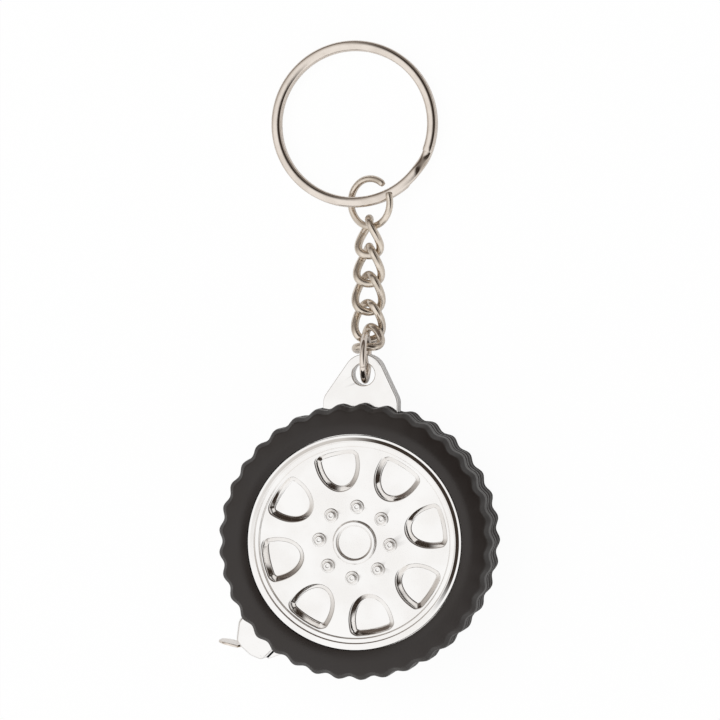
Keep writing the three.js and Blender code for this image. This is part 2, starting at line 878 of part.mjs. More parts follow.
// The lug ring hangs in the lug's hole, upright across the lug.
const lugRingRadius = (lugRingDiameter - lugRingWire) / 2;
const lugRingY = lugHoleY - lugHoleRadius + pivotGap + lugRingDiameter / 2 + fitGap;
const lugRingMesh = addPiece(wheel, "lug_ring", lugRing(), finish.nickel);
lugRingMesh.position.set(lugTipShift, lugRingY, 0);

function offsetOf(shares, size) {
  return new THREE.Vector3(...shares).multiplyScalar(size);
}

// A piece leans about the X axis, rolls about its own length and turns about its own axis.
function turnBy(mesh, lie) {
  const [lean, roll, turn] = [lie.lean, lie.roll, lie.turn].map(THREE.MathUtils.degToRad);
  mesh.rotation.set(lean, roll, turn, "ZYX");
}

// The mesh is moved so that the given point of it, in its own frame, comes to a place.
function seat(mesh, ownPoint, place) {
  mesh.position.copy(place).sub(ownPoint.clone().applyEuler(mesh.rotation));
}

// Each link is placed by one end on the piece before it, and then leans and rolls as it lies.
const linkHalf = (linkLength - linkWire) / 2;
const upperEnd = new THREE.Vector3(0, linkHalf, 0);
const lowerEnd = new THREE.Vector3(0, -linkHalf, 0);
let place = new THREE.Vector3(lugTipShift, lugRingY, halfWidth).add(offsetOf(hookShares, lugRingRadius));
let end = upperEnd;
for (const lie of linkLies) {
  const link = addPiece(keychain, lie.name, curbLink(), finish.nickel);
  turnBy(link, lie);
  seat(link, end, place);
  const standing = end === upperEnd;
  const farEnd = standing ? lowerEnd : upperEnd;
  const step = standing
    ? offsetOf(footShares, linkWire)
    : new THREE.Vector3(0, -(linkWire + linkSlack), 0).applyEuler(link.rotation);
  place = farEnd.clone().applyEuler(link.rotation).add(link.position).add(step);
  end = lowerEnd;
}

const jumpRadius = (jumpDiameter - jumpWire) / 2;
const jumpMesh = addPiece(keychain, "jump_ring", jumpRing(), finish.nickel);
const jumpPlace = place
  .add(new THREE.Vector3(0, linkWire + linkSlack, 0))
  .add(offsetOf(jumpShares, jumpWire));
turnBy(jumpMesh, jumpLie);
seat(jumpMesh, new THREE.Vector3(0, -jumpRadius, 0), jumpPlace);

const keyMesh = addPiece(keychain, "key_ring", keyRing(), finish.nickel);
const keyPlace = jumpMesh.position.clone().add(offsetOf(keyShares, jumpRadius));
turnBy(keyMesh, keyLie);
seat(keyMesh, new THREE.Vector3(0, -keyRadius, 0), keyPlace);

export default keychain;
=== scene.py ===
# %% [markdown]
# # Tape measure keychain
# A one-metre steel tape lives in a case shaped like a small car wheel. A chrome plated lug on the case
# carries a short curb chain, and the chain carries a split ring for keys. Each piece that shows is
# built here with finer, rounded meshes and its own finish, and each but the tape rides on the moving
# body it belongs to.

# %% Load the frame
import math

import bmesh
import bpy
from mathutils import Matrix, Vector


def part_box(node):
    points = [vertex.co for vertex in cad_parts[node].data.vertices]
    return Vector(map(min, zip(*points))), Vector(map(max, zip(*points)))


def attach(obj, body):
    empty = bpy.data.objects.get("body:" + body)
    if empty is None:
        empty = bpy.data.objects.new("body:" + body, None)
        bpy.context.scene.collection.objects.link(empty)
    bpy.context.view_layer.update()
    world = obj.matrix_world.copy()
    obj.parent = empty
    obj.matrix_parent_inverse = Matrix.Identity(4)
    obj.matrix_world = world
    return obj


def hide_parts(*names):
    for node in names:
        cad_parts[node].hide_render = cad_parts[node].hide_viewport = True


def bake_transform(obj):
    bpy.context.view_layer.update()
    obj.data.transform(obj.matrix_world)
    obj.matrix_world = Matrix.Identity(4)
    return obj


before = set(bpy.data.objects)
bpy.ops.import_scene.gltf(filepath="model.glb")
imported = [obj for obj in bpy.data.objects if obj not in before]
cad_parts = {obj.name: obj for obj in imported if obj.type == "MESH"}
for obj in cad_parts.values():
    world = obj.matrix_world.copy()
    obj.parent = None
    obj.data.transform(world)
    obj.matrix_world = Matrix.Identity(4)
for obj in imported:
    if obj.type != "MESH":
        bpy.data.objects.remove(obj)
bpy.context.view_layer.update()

# %% [markdown]
# ## Camera
# The photograph is taken from above with a long lens, a little from the right. The camera turns about
# a target on the wheel side of the chain, so its place follows from three small angles and a distance.
# A focal length in pixels turns into millimetres with the sensor's width.

# %% Place the camera
MM = 0.001
SENSOR_WIDTH = 36
PICTURE_WIDTH = 720
focal_pixels = 5461
camera_distance = 800
camera_target = Vector((-0.415, 26.43, 7.0))
camera_angles = {"Z": 0.905, "Y": 7.3, "X": -1.15}
camera_turn = Matrix.Identity(3)
for axis, degrees in camera_angles.items():
    camera_turn = camera_turn @ Matrix.Rotation(math.radians(degrees), 3, axis)
camera_data = bpy.data.cameras.new("camera")
camera_data.sensor_width = SENSOR_WIDTH
camera_data.lens = focal_pixels * SENSOR_WIDTH / PICTURE_WIDTH
camera = bpy.data.objects.new("camera", camera_data)
camera_place = camera_target + camera_turn @ Vector((0, 0, camera_distance))
camera.matrix_world = Matrix.Translation(camera_place * MM) @ camera_turn.to_4x4()
bpy.context.collection.objects.link(camera)
bpy.context.scene.camera = camera
bpy.context.scene.view_settings.view_transform = "Standard"
print("lens in mm:", round(camera_data.lens, 1))

# %% [markdown]
# ## Light
# The keychain lies in a white light tent. Chrome shows nothing but what stands around it, so the tent
# matters more than the lamp. It is white overhead, grey near the table and darkest low down beyond the
# key ring, and has a dark opening high on the right, which draws a dark line on every edge that faces
# it. A world shader with a colour ramp and two smooth steps makes such a tent without any geometry,
# and one large lamp adds a soft shadow.


# %% Helpers for shader nodes
def add_node(tree, kind, **values):
    """Adds a node, and sets its properties and its inputs by name or number."""
    node = tree.nodes.new(kind)
    inputs = values.pop("inputs", {})
    for name, value in values.items():
        setattr(node, name, value)
    for name, value in inputs.items():
        if isinstance(value, bpy.types.NodeSocket):
            tree.links.new(value, node.inputs[name])
        else:
            node.inputs[name].default_value = value
    return node


def calculate(tree, operation, *values):
    """A Math node's result, from sockets or plain numbers."""
    inputs = dict(enumerate(values))
    return add_node(tree, "ShaderNodeMath", operation=operation, inputs=inputs).outputs[0]


def share_along(tree, place, direction):
    """How far a place or a direction goes along a given direction."""
    inputs = {0: place, 1: direction}
    node = add_node(tree, "ShaderNodeVectorMath", operation="DOT_PRODUCT", inputs=inputs)
    return node.outputs["Value"]


def smooth_step(tree, value, edges):
    """A share that goes smoothly from 0 to 1 between two values."""
    inputs = {"Value": value, "From Min": edges[0], "From Max": edges[1]}
    kind = "ShaderNodeMapRange"
    return add_node(tree, kind, interpolation_type="SMOOTHSTEP", inputs=inputs).outputs[0]


def mixed_colour(tree, share, first, second):
    """A colour between two, each of them a socket or a plain colour."""
    inputs = {"Factor": share, 6: first, 7: second}
    return add_node(tree, "ShaderNodeMix", data_type="RGBA", inputs=inputs).outputs[2]


# %% Build the tent
tent_white = (1.0, 1.0, 1.0, 1.0)
tent_haze = (0.13, 0.105, 0.09, 1.0)
haze_middle = (0.62, 0.59, 0.56, 1.0)
haze_middle_height = 0.45
haze_lean = (0.0, -0.7, 1.0)
haze_rise = 0.25
tent_dark = (0.045, 0.034, 0.027, 1.0)
opening_towards = Vector((0.79, 0.44, 0.42)).normalized()
opening_edges = (0.38, 0.66)
opening_foot = (0.42, 0.74)
tent_strength = 0.8
world = bpy.data.worlds.new("light_tent")
bpy.context.scene.world = world
world.use_nodes = True
tent = world.node_tree
direction = add_node(tent, "ShaderNodeTexCoord").outputs["Generated"]
height = calculate(tent, "ADD", share_along(tent, direction, haze_lean), haze_rise)
haze = add_node(tent, "ShaderNodeValToRGB", inputs={"Fac": height})
haze.color_ramp.elements[0].color = tent_haze
haze.color_ramp.elements[1].color = tent_white
haze.color_ramp.elements.new(haze_middle_height).color = haze_middle
opening = smooth_step(tent, share_along(tent, direction, opening_towards), opening_edges)
foot_height = add_node(tent, "ShaderNodeSeparateXYZ", inputs={0: direction}).outputs["Z"]
darkened = calculate(tent, "MULTIPLY", opening, smooth_step(tent, foot_height, opening_foot))
walls = mixed_colour(tent, darkened, haze.outputs["Color"], tent_dark)
rays = add_node(tent, "ShaderNodeLightPath").outputs
tent_colour = mixed_colour(tent, rays["Is Camera Ray"], walls, tent_white)
seen = calculate(tent, "MAXIMUM", rays["Is Camera Ray"], rays["Is Glossy Ray"])
unseen = calculate(tent, "SUBTRACT", 1.0, seen)
strength = calculate(tent, "MULTIPLY_ADD", unseen, tent_strength - 1.0, 1.0)
background = tent.nodes["Background"]
tent.links.new(tent_colour, background.inputs["Color"])
tent.links.new(strength, background.inputs["Strength"])
print("light tent strength on surfaces:", tent_strength)

# %% Hang the lamp
lamp_size = 0.7
lamp_power = 2.2
lamp_place = Vector((-0.25, 0.2, 0.8))
lamp_target = Vector((0, 26.4, 7)) * MM
lamp_data = bpy.data.lights.new("soft_lamp", "AREA")
lamp_data.shape = "DISK"
lamp_data.size = lamp_size
lamp_data.energy = lamp_power
lamp = bpy.data.objects.new("soft_lamp", lamp_data)
lamp.location = lamp_place
lamp.rotation_mode = "QUATERNION"
lamp_aim = lamp_target - lamp_place
lamp.rotation_quaternion = lamp_aim.to_track_quat("-Z", "Y")
lamp.visible_glossy = False
bpy.context.collection.objects.link(lamp)
print("lamp distance in m:", round(lamp_aim.length, 2))

# %% [markdown]
# ## Table
# The table is a white sheet that fades into the white of the tent, and keeps a faint shadow. Its
# material mixes a lit white surface with a plain white glow for the rays that look at it, so it is
# white without any more light on the object. From below it lets the eye pass, to show the rear.

# %% Lay the table
table_half = 1.5
seen_glow = 0.95
glow_strength = 1.01
mirrored_glow = 0.12
paper_white = (0.98, 0.98, 0.98, 1.0)
table_material = bpy.data.materials.new("white_table")
table_material.use_nodes = True
tree = table_material.node_tree
tree.nodes.clear()
paper = add_node(tree, "ShaderNodeBsdfDiffuse", inputs={"Color": paper_white})
glow = add_node(tree, "ShaderNodeEmission", inputs={"Color": tent_white, "Strength": glow_strength})
rays = add_node(tree, "ShaderNodeLightPath").outputs
mirrored = calculate(tree, "MAXIMUM", rays["Is Glossy Ray"], rays["Is Transmission Ray"])
mirrored_share = calculate(tree, "MULTIPLY", mirrored, mirrored_glow)
seen_share = calculate(tree, "MULTIPLY", rays["Is Camera Ray"], seen_glow)
share = calculate(tree, "MAXIMUM", seen_share, mirrored_share)
lit = add_node(
    tree, "ShaderNodeMixShader", inputs={0: share, 1: paper.outputs[0], 2: glow.outputs[0]}
)
clear = add_node(tree, "ShaderNodeBsdfTransparent")
below = add_node(tree, "ShaderNodeNewGeometry").outputs["Backfacing"]
sided = add_node(
    tree, "ShaderNodeMixShader", inputs={0: below, 1: lit.outputs[0], 2: clear.outputs[0]}
)
output = add_node(tree, "ShaderNodeOutputMaterial", inputs={"Surface": sided.outputs[0]})
table_mesh = bpy.data.meshes.new("table")
corners = [(-1, -1, 0), (1, -1, 0), (1, 1, 0), (-1, 1, 0)]
table_mesh.from_pydata([Vector(corner) * table_half for corner in corners], [], [range(4)])
table_mesh.materials.append(table_material)
table = bpy.data.objects.new("table", table_mesh)
bpy.context.collection.objects.link(table)
print("table side in m:", 2 * table_half)

# %% [markdown]
# ## Handled surfaces
# No moulded or plated surface is equally smooth all over: it has broad soft patches that were touched
# or flowed differently, and a fine texture in between. One node group makes both from two noises, so
# that each material takes the same effect with its own sizes. It puts out a roughness that changes
# over the surface, a height for a bump and a mask for mixing two tones.


# %% Node group for handled surfaces
def new_group(name, inputs, outputs):
    """A shader node group with named number sockets."""
    group = bpy.data.node_groups.new(name, "ShaderNodeTree")
    for label, value in inputs.items():
        socket = group.interface.new_socket(label, in_out="INPUT", socket_type="NodeSocketFloat")
        socket.default_value = value
    for label in outputs:
        group.interface.new_socket(label, in_out="OUTPUT", socket_type="NodeSocketFloat")
    return group, group.nodes.new("NodeGroupInput"), group.nodes.new("NodeGroupOutput")


def noise(tree, place, scale, detail):
    """A noise value about places in metres, with a scale in features per metre."""
    inputs = {"Vector": place, "Scale": scale, "Detail": detail}
    return add_node(tree, "ShaderNodeTexNoise", inputs=inputs).outputs["Fac"]


patch_detail = 3.0
texture_detail = 4.0
patch_edges = (0.35, 0.65)
handled, given, result = new_group(
    "handled_surface",
    {"Patches per metre": 150, "Texture per metre": 3000, "Smooth": 0.1, "Rough": 0.2},
    ["Roughness", "Height", "Mask"],
)
own_place = add_node(handled, "ShaderNodeTexCoord").outputs["Object"]
patches = noise(handled, own_place, given.outputs["Patches per metre"], patch_detail)
texture = noise(handled, own_place, given.outputs["Texture per metre"], texture_detail)
mask = smooth_step(handled, patches, patch_edges)
roughness = add_node(
    handled,
    "ShaderNodeMapRange",
    inputs={"Value": mask, "To Min": given.outputs["Smooth"], "To Max": given.outputs["Rough"]},
)
handled.links.new(roughness.outputs[0], result.inputs["Roughness"])
handled.links.new(texture, result.inputs["Height"])
handled.links.new(mask, result.inputs["Mask"])
print("group outputs:", [socket.name for socket in result.inputs if socket.name])


# %% A material with the group in it
def handled_material(name, tones, sizes, smoothness, bump_height, metallic, **constants):
    """A material of two tones, with patch and texture sizes in mm and a bump in mm."""
    material = bpy.data.materials.new(name)
    material.use_nodes = True
    tree = material.node_tree
    shader = tree.nodes["Principled BSDF"]
    shader.inputs["Metallic"].default_value = metallic
    for socket, value in constants.items():
        shader.inputs[socket.replace("_", " ")].default_value = value
    group = add_node(
        tree,
        "ShaderNodeGroup",
        node_tree=handled,
        inputs={
            "Patches per metre": 1 / (sizes[0] * MM),
            "Texture per metre": 1 / (sizes[1] * MM),
            "Smooth": smoothness[0],
            "Rough": smoothness[1],
        },
    )
    colour = mixed_colour(tree, group.outputs["Mask"], (*tones[0], 1), (*tones[1], 1))
    bump = add_node(
        tree,
        "ShaderNodeBump",
        inputs={"Height": group.outputs["Height"], "Distance": bump_height * MM},
    )
    tree.links.new(colour, shader.inputs["Base Color"])
    tree.links.new(group.outputs["Roughness"], shader.inputs["Roughness"])
    tree.links.new(bump.outputs["Normal"], shader.inputs["Normal"])
    return material


# %% [markdown]
# ## Finishes
# The wheel cap and the case are plastic with a bright chrome plating, which is nearly white and
# mirrors its surroundings with a slight waviness from the mould. The rings and the tab are nickel
# plated steel, which is warmer, and the chain is the same but tumbled dull. The tyre is black plastic
# with a satin grain. The pieces inside have plain finishes: moulded black, blued steel and zinc.

# %% Make the finishes
chrome = handled_material(
    "bright_chrome",
    tones=[(0.95, 0.938, 0.925), (0.905, 0.885, 0.865)],
    sizes=(6, 2.5),
    smoothness=(0.03, 0.09),
    bump_height=0.004,
    metallic=1.0,
)
nickel = handled_material(
    "warm_nickel",
    tones=[(0.82, 0.745, 0.675), (0.74, 0.665, 0.595)],
    sizes=(3, 0.35),
    smoothness=(0.08, 0.17),
    bump_height=0.003,
    metallic=1.0,
)
dull_nickel = handled_material(
    "dull_nickel",
    tones=[(0.82, 0.735, 0.64), (0.7, 0.62, 0.53)],
    sizes=(2, 0.3),
    smoothness=(0.16, 0.3),
    bump_height=0.004,
    metallic=1.0,
)
tyre_black = handled_material(
    "satin_black_plastic",
    tones=[(0.024, 0.0185, 0.0165), (0.029, 0.023, 0.0205)],
    sizes=(8, 0.14),
    smoothness=(0.36, 0.5),
    bump_height=0.01,
    metallic=0.0,
    Specular_IOR_Level=0.45,
)
inner_black = handled_material(
    "moulded_black_plastic",
    tones=[(0.02, 0.02, 0.022), (0.028, 0.028, 0.03)],
    sizes=(5, 0.3),
    smoothness=(0.4, 0.6),
    bump_height=0.01,
    metallic=0.0,
)
zinc = handled_material(
    "zinc_plating",
    tones=[(0.56, 0.56, 0.57), (0.46, 0.47, 0.5)],
    sizes=(1, 0.2),
    smoothness=(0.25, 0.4),
    bump_height=0.004,
    metallic=1.0,
)
blued_steel = handled_material(
    "blued_spring_steel",
    tones=[(0.25, 0.29, 0.36), (0.36, 0.36, 0.4)],
    sizes=(4, 0.3),
    smoothness=(0.2, 0.35),
    bump_height=0.003,
    metallic=1.0,
)
print("finishes:", [material.name for material in bpy.data.materials])

# %% [markdown]
# ## Tape finish
# The blade is lacquered yellow with black marks at every millimetre, longer ones at five and across
# the whole blade at ten. The marks are worked out from the distance along the line on which the tape
# is pulled, so they stay a true millimetre apart however far the tape is out.

# %% Paint the tape
pull_angle = math.radians(4.7)
pull_direction = Vector((-math.cos(pull_angle), -math.sin(pull_angle), 0))
pull_normal = Vector((math.sin(pull_angle), -math.cos(pull_angle), 0))
blade_width = 6
wheel_height = 7
mark_width = 0.16
mark_lengths = {1: 1.2, 5: 2.0, 10: 6.0}
mark_black = (0.015, 0.015, 0.015, 1.0)

tape_paint = handled_material(
    "yellow_tape_lacquer",
    tones=[(0.86, 0.61, 0.045), (0.80, 0.55, 0.04)],
    sizes=(9, 0.5),
    smoothness=(0.25, 0.35),
    bump_height=0.002,
    metallic=0.0,
)
tree = tape_paint.node_tree
place = add_node(tree, "ShaderNodeTexCoord").outputs["Object"]
travel = calculate(tree, "DIVIDE", share_along(tree, place, pull_direction), MM)
place_parts = add_node(tree, "ShaderNodeSeparateXYZ", inputs={0: place}).outputs
across = calculate(tree, "DIVIDE", place_parts["Z"], MM)
from_edge = calculate(tree, "SUBTRACT", across, wheel_height - blade_width / 2)
marks = 0.0
for spacing, length in mark_lengths.items():
    distance = calculate(tree, "PINGPONG", travel, spacing / 2)
    thin = calculate(tree, "LESS_THAN", distance, mark_width / 2)
    short = calculate(tree, "LESS_THAN", from_edge, length)
    mark = calculate(tree, "MULTIPLY", thin, short)
    marks = calculate(tree, "MAXIMUM", mark, marks)
lacquer = tree.nodes["Principled BSDF"].inputs["Base Color"]
printed = mixed_colour(tree, marks, lacquer.links[0].from_socket, mark_black)
tree.links.new(printed, lacquer)
print("marks every", list(mark_lengths), "mm")

# %% [markdown]
# ## Tools for round and flat pieces
# Almost everything on the keychain is turned, drawn out of a flat outline, or bent from wire. Three
# small builders cover these, all in millimetres: one leads rings of points round an axis, one rounds
# the edges of a flat plate, and one leads a section along a path. Moulded and stamped edges are never
# sharp, so outlines and profiles are written as corners with a radius, which one helper rounds.


# %% Round the corners of an outline
def arc_points(centre, first, last, steps):
    """Points from one arm of a circle to the other, by the short way."""
    sweep_angle = math.atan2(first.x * last.y - first.y * last.x, first.dot(last))
    turns = (Matrix.Rotation(sweep_angle * i / steps, 2) for i in range(steps + 1))
    return [centre + turn @ first for turn in turns]


def rounded(corners, closed=True, steps=6):
    """An outline from (x, y, radius) corners."""
    points = []
    count = len(corners)
    for i, (x, y, radius) in enumerate(corners):
        corner = Vector((x, y))
        if not radius or (not closed and i in (0, count - 1)):
            points.append(corner)
            continue
        before = (Vector(corners[i - 1][:2]) - corner).normalized()
        after = (Vector(corners[(i + 1) % count][:2]) - corner).normalized()
        half = before.angle(after) / 2
        reach = radius / math.tan(half)
        centre = corner + (before + after).normalized() * radius / math.sin(half)
        first, last = (corner + side * reach - centre for side in (before, after))
        points += arc_points(centre, first, last, steps)
    return points


def grown(points, margin):
    """A counter-clockwise outline made larger all round; a clockwise one, a hole, gets smaller."""
    result = []
    for i, point in enumerate(points):
        incoming = (point - points[i - 1]).normalized()
        outgoing = (points[(i + 1) % len(points)] - point).normalized()
        normal_in = Vector((incoming.y, -incoming.x))
        normal_out = Vector((outgoing.y, -outgoing.x))
        miter = (normal_in + normal_out).normalized()
        result.append(point + miter * margin / miter.dot(normal_in))
    return result


# %% Walls between rings of points
def wall(bm, lower, upper):
    """Faces between two closed rings; a ring of one point makes a fan."""
    if len(lower) < len(upper):
        lower, upper = upper, lower
    for i, point in enumerate(lower):
        following = lower[(i + 1) % len(lower)]
        if len(upper) == 1:
            bm.faces.new((point, following, upper[0]))
        else:
            bm.faces.new((point, following, upper[(i + 1) % len(upper)], upper[i]))


def ring_of(bm, points, height):
    """The points of a flat outline as vertices at one height."""
    return [bm.verts.new((point.x, point.y, height)) for point in points]


def fill(bm, *rings):
    """A flat face inside the first ring, with the other rings as holes."""
    edges = []
    for ring in rings:
        for i, point in enumerate(ring):
            pair = (ring[i - 1], point)
            edges.append(bm.edges.get(pair) or bm.edges.new(pair))
    bmesh.ops.triangle_fill(bm, edges=edges, use_beauty=True)


def circle(radius, steps, centre=(0, 0)):
    """A round outline, counter-clockwise."""
    turns = (2 * math.pi * i / steps for i in range(steps))
    return [Vector(centre) + Vector((math.cos(t), math.sin(t))) * radius for t in turns]


def turned(bm, profile, steps, centre=(0, 0)):
    """Rings of a turned shape from (radius, height) points; returns the rings."""
    rings = []
    for radius, height in profile:
        if radius:
            rings.append(ring_of(bm, circle(radius, steps, centre), height))
        else:
            rings.append([bm.verts.new((*centre, height))])
    for lower, upper in zip(rings, rings[1:]):
        wall(bm, lower, upper)
    return rings


# %% Plates with rounded edges
def rounded_plate(outline, low, high, low_edge, high_edge, holes=(), steps=4):
    """A closed plate between two heights, with its edges rounded by the given radii."""
    bm = bmesh.new()
    turns = [math.pi / 2 * i / steps for i in range(steps + 1)]
    lower = [(low + low_edge * (1 - math.cos(a)), low_edge * (1 - math.sin(a))) for a in turns]
    upper = [(high - high_edge * (1 - math.sin(a)), high_edge * (1 - math.cos(a))) for a in turns]
    levels = [*lower, *upper]
    stacks = []
    for loop in [outline, *holes]:
        rings = [ring_of(bm, grown(loop, -inset), height) for height, inset in levels]
        for first, second in zip(rings, rings[1:]):
            wall(bm, first, second)
        stacks.append(rings)
    fill(bm, *(rings[0] for rings in stacks))
    fill(bm, *(rings[-1] for rings in stacks))
    return bm


# %% Wire led along a path
UP = Vector((0, 0, 1))


def sweep(points, section, closed=False, shares=None):
    """A section of (outward, upward) points along a path, made smaller by a share where given."""
    bm = bmesh.new()
    rings = []
    for i, point in enumerate(points):
        before = points[i - 1] if closed or i else point
        after = points[(i + 1) % len(points)] if closed or i + 1 < len(points) else point
        along = (after - before).normalized()
        outward = along.cross(UP).normalized()
        upward = outward.cross(along)
        share = shares[i] if shares else 1
        offsets = (share * (p.x * outward + p.y * upward) for p in section)
        rings.append([bm.verts.new(point + offset) for offset in offsets])
    if closed:
        rings.append(rings[0])
    for lower, upper in zip(rings, rings[1:]):
        wall(bm, lower, upper)
    if not closed:
        bm.faces.new(rings[0])
        bm.faces.new(rings[-1])
    return bm


# %% Cut and join built meshes
def combined(first, second, operation):
    """Blender's exact Boolean between two built meshes, which it uses up."""
    objects = []
    for bm in (first, second):
        bmesh.ops.recalc_face_normals(bm, faces=bm.faces)
        mesh = bpy.data.meshes.new("tool")
        bm.to_mesh(mesh)
        bm.free()
        objects.append(bpy.data.objects.new("tool", mesh))
        bpy.context.collection.objects.link(objects[-1])
    modifier = objects[0].modifiers.new("cut", "BOOLEAN")
    modifier.object = objects[1]
    modifier.operation = operation
    modifier.solver = "EXACT"
    result = bmesh.new()
    result.from_object(objects[0], bpy.context.evaluated_depsgraph_get())
    for tool in objects:
        bpy.data.meshes.remove(tool.data)
    return result


# %% Turn a built mesh into a piece
SMOOTH_ANGLE = math.radians(35)
WHEEL_PLACE = Matrix.Translation((0, 0, wheel_height))


def make_object(name, bm, material, place=WHEEL_PLACE):
    """Places the mesh, goes to metres, and shades it smooth between its sharp edges."""
    bm.transform(Matrix.Scale(MM, 4) @ place)
    bmesh.ops.recalc_face_normals(bm, faces=bm.faces)
    mesh = bpy.data.meshes.new(name)
    bm.to_mesh(mesh)
    bm.free()
    mesh.shade_smooth()
    mesh.set_sharp_from_angle(angle=SMOOTH_ANGLE)
    mesh.materials.append(material)
    obj = bpy.data.objects.new(name, mesh)
    bpy.context.collection.objects.link(obj)
    weights = obj.modifiers.new("face weights", "WEIGHTED_NORMAL")
    weights.keep_sharp = True
    return obj


def report(obj, node):
    """How far the piece's box lies from its node's box, in mm."""
    low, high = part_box(node)
    corners = [obj.matrix_world @ vertex.co for vertex in obj.data.vertices]
    off = [min(c[i] for c in corners) - low[i] for i in range(3)]
    off += [high[i] - max(c[i] for c in corners) for i in range(3)]
    faces = len(obj.data.polygons)
    print(obj.name, faces, "faces, inside its node by", [round(o / MM, 2) for o in off])


def make_piece(name, bm, material, body, node, place=WHEEL_PLACE):
    """Makes the object, puts it on its body and lets it take its node's place."""
    obj = make_object(name, bm, material, place)
    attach(obj, body)
    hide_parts(node)
    report(obj, node)
    return obj


# %% [markdown]
# ## Wheel cap
# The cap is one chrome plated moulding: a flat bead at the rim, a slope up to a crest, a step down to
# a flat ring, and then a sunk disc with eight windows, eight lug nuts and a ring at the hub. A profile
# turned about the axis makes the rim. The disc is a flat face between the rim and the outlines of
# windows, nuts and hub, so that each of these can grow out of it with its own rounded edge and no
# cutting is needed.

# %% Wheel cap, the rim and the hub
CAP_STEPS = 192
cap_back = 5.16
disc_top = 6.2
rim_profile = rounded(
    [
        (15.69, cap_back, 0),
        (15.69, 6.6, 0.1),
        (15.32, 6.59, 0.08),
        (14.84, 6.8, 0.06),
        (14.76, 6.8, 0.03),
        (14.62, 6.52, 0.05),
        (14.04, 6.52, 0.08),
        (13.92, disc_top, 0.08),
        (13.5, disc_top, 0),
    ],
    closed=False,
)[:-1]
hub_profile = rounded(
    [
        (3.6, disc_top, 0),
        (3.2, disc_top, 0.07),
        (3.08, 6.68, 0.2),
        (2.58, 6.7, 0.22),
        (2.36, 6.32, 0.12),
        (0, 6.3, 0),
    ],
    closed=False,
)[1:]
print("rim profile points:", len(rim_profile), "hub profile points:", len(hub_profile))

# %% Wheel cap, a window and a nut
WINDOWS = 8
WINDOW_STEPS = 28
NUT_STEPS = 28
window_pitch = 2 * math.pi / WINDOWS
window_turn = math.radians(13)
nut_turn = math.radians(-3)
nut_circle = 5.2
nut_profile = rounded(
    [
        (1.3, disc_top, 0),
        (1.03, disc_top, 0.05),
        (0.97, 6.44, 0.1),
        (0.78, 6.44, 0.08),
        (0.7, 6.28, 0.04),
        (0.63, 6.28, 0.04),
        (0.56, 6.8, 0.14),
        (0.3, 6.8, 0.06),
        (0.22, 6.7, 0.05),
        (0, 6.7, 0),
    ],
    closed=False,
    steps=3,
)[1:]
window_half = 3.42
window_top = 13.78
window_top_point = 1.1
window_corner = 1.2
window_waist = 12.1
window_reach = 4.65
window_slope = math.radians(56)
top_rounding = 0.34
foot_rounding = 0.3
ROUNDING_STEPS = 5


def window_outline(inset):
    """The window's outline: an arc along the rim, and half an oval towards the hub."""
    shoulders = [
        (window_half, window_waist, 0),
        (window_half, window_top, window_corner),
        (window_top_point, window_top, 0),
        (0, window_top, 0),
        (-window_top_point, window_top, 0),
        (-window_half, window_top, window_corner),
        (-window_half, window_waist, 0),
    ]
    points = rounded(shoulders, closed=False)
    for point in points:
        risen = (point.y - window_waist) / (window_top - window_waist)
        point.y -= risen * point.x**2 / (2 * window_top)
    for i in range(1, WINDOW_STEPS):
        angle = math.pi * (1 + i / WINDOW_STEPS)
        reach = Vector((window_half * math.cos(angle), window_reach * math.sin(angle)))
        points.append(Vector((0, window_waist)) + reach)
    return grown(points, -inset)


def window_levels():
    """Insets and heights down the window's wall: a rounded edge, a slope and a hollow foot."""
    turns = [window_slope * i / ROUNDING_STEPS for i in range(ROUNDING_STEPS + 1)]
    top = [
        (top_rounding * math.sin(a), disc_top - top_rounding * (1 - math.cos(a))) for a in turns
    ]
    foot = [
        (-foot_rounding * math.sin(a), cap_back + foot_rounding * (1 - math.cos(a)))
        for a in reversed(turns[1:])
    ]
    run = (top[-1][1] - foot[0][1]) / math.tan(window_slope)
    shift = top[-1][0] + run - foot[0][0]
    return [*top, *((inset + shift, height) for inset, height in foot)]


print("window levels:", [(round(a, 2), round(b, 2)) for a, b in window_levels()])


# %% Wheel cap, put together
def build_wheel_cap():
    """Rim and hub, windows and nuts, with a front and a back that join them all."""
    bm = bmesh.new()
    rim = turned(bm, rim_profile, CAP_STEPS)
    hub = turned(bm, hub_profile, CAP_STEPS)
    top_holes = [hub[0]]
    back_holes = []
    for i in range(WINDOWS):
        turn = Matrix.Rotation(window_turn + window_pitch * i - math.pi / 2, 2)
        rings = [
            ring_of(bm, [turn @ point for point in window_outline(inset)], height)
            for inset, height in window_levels()
        ]
        for lower, upper in zip(rings, rings[1:]):
            wall(bm, lower, upper)
        top_holes.append(rings[0])
        back_holes.append(rings[-1])
        angle = nut_turn + window_pitch * i
        centre = (nut_circle * math.cos(angle), nut_circle * math.sin(angle))
        top_holes.append(turned(bm, nut_profile, NUT_STEPS, centre)[0])
    fill(bm, rim[-1], *top_holes)
    fill(bm, rim[0], *back_holes)
    return bm


cap_places = {"front": WHEEL_PLACE, "rear": WHEEL_PLACE @ Matrix.Rotation(math.pi, 4, "X")}
for side, place in cap_places.items():
    name, node = f"{side}_wheel_cap", f"wheel_cap_{side}"
    make_piece(name, build_wheel_cap(), chrome, "case", node, place)
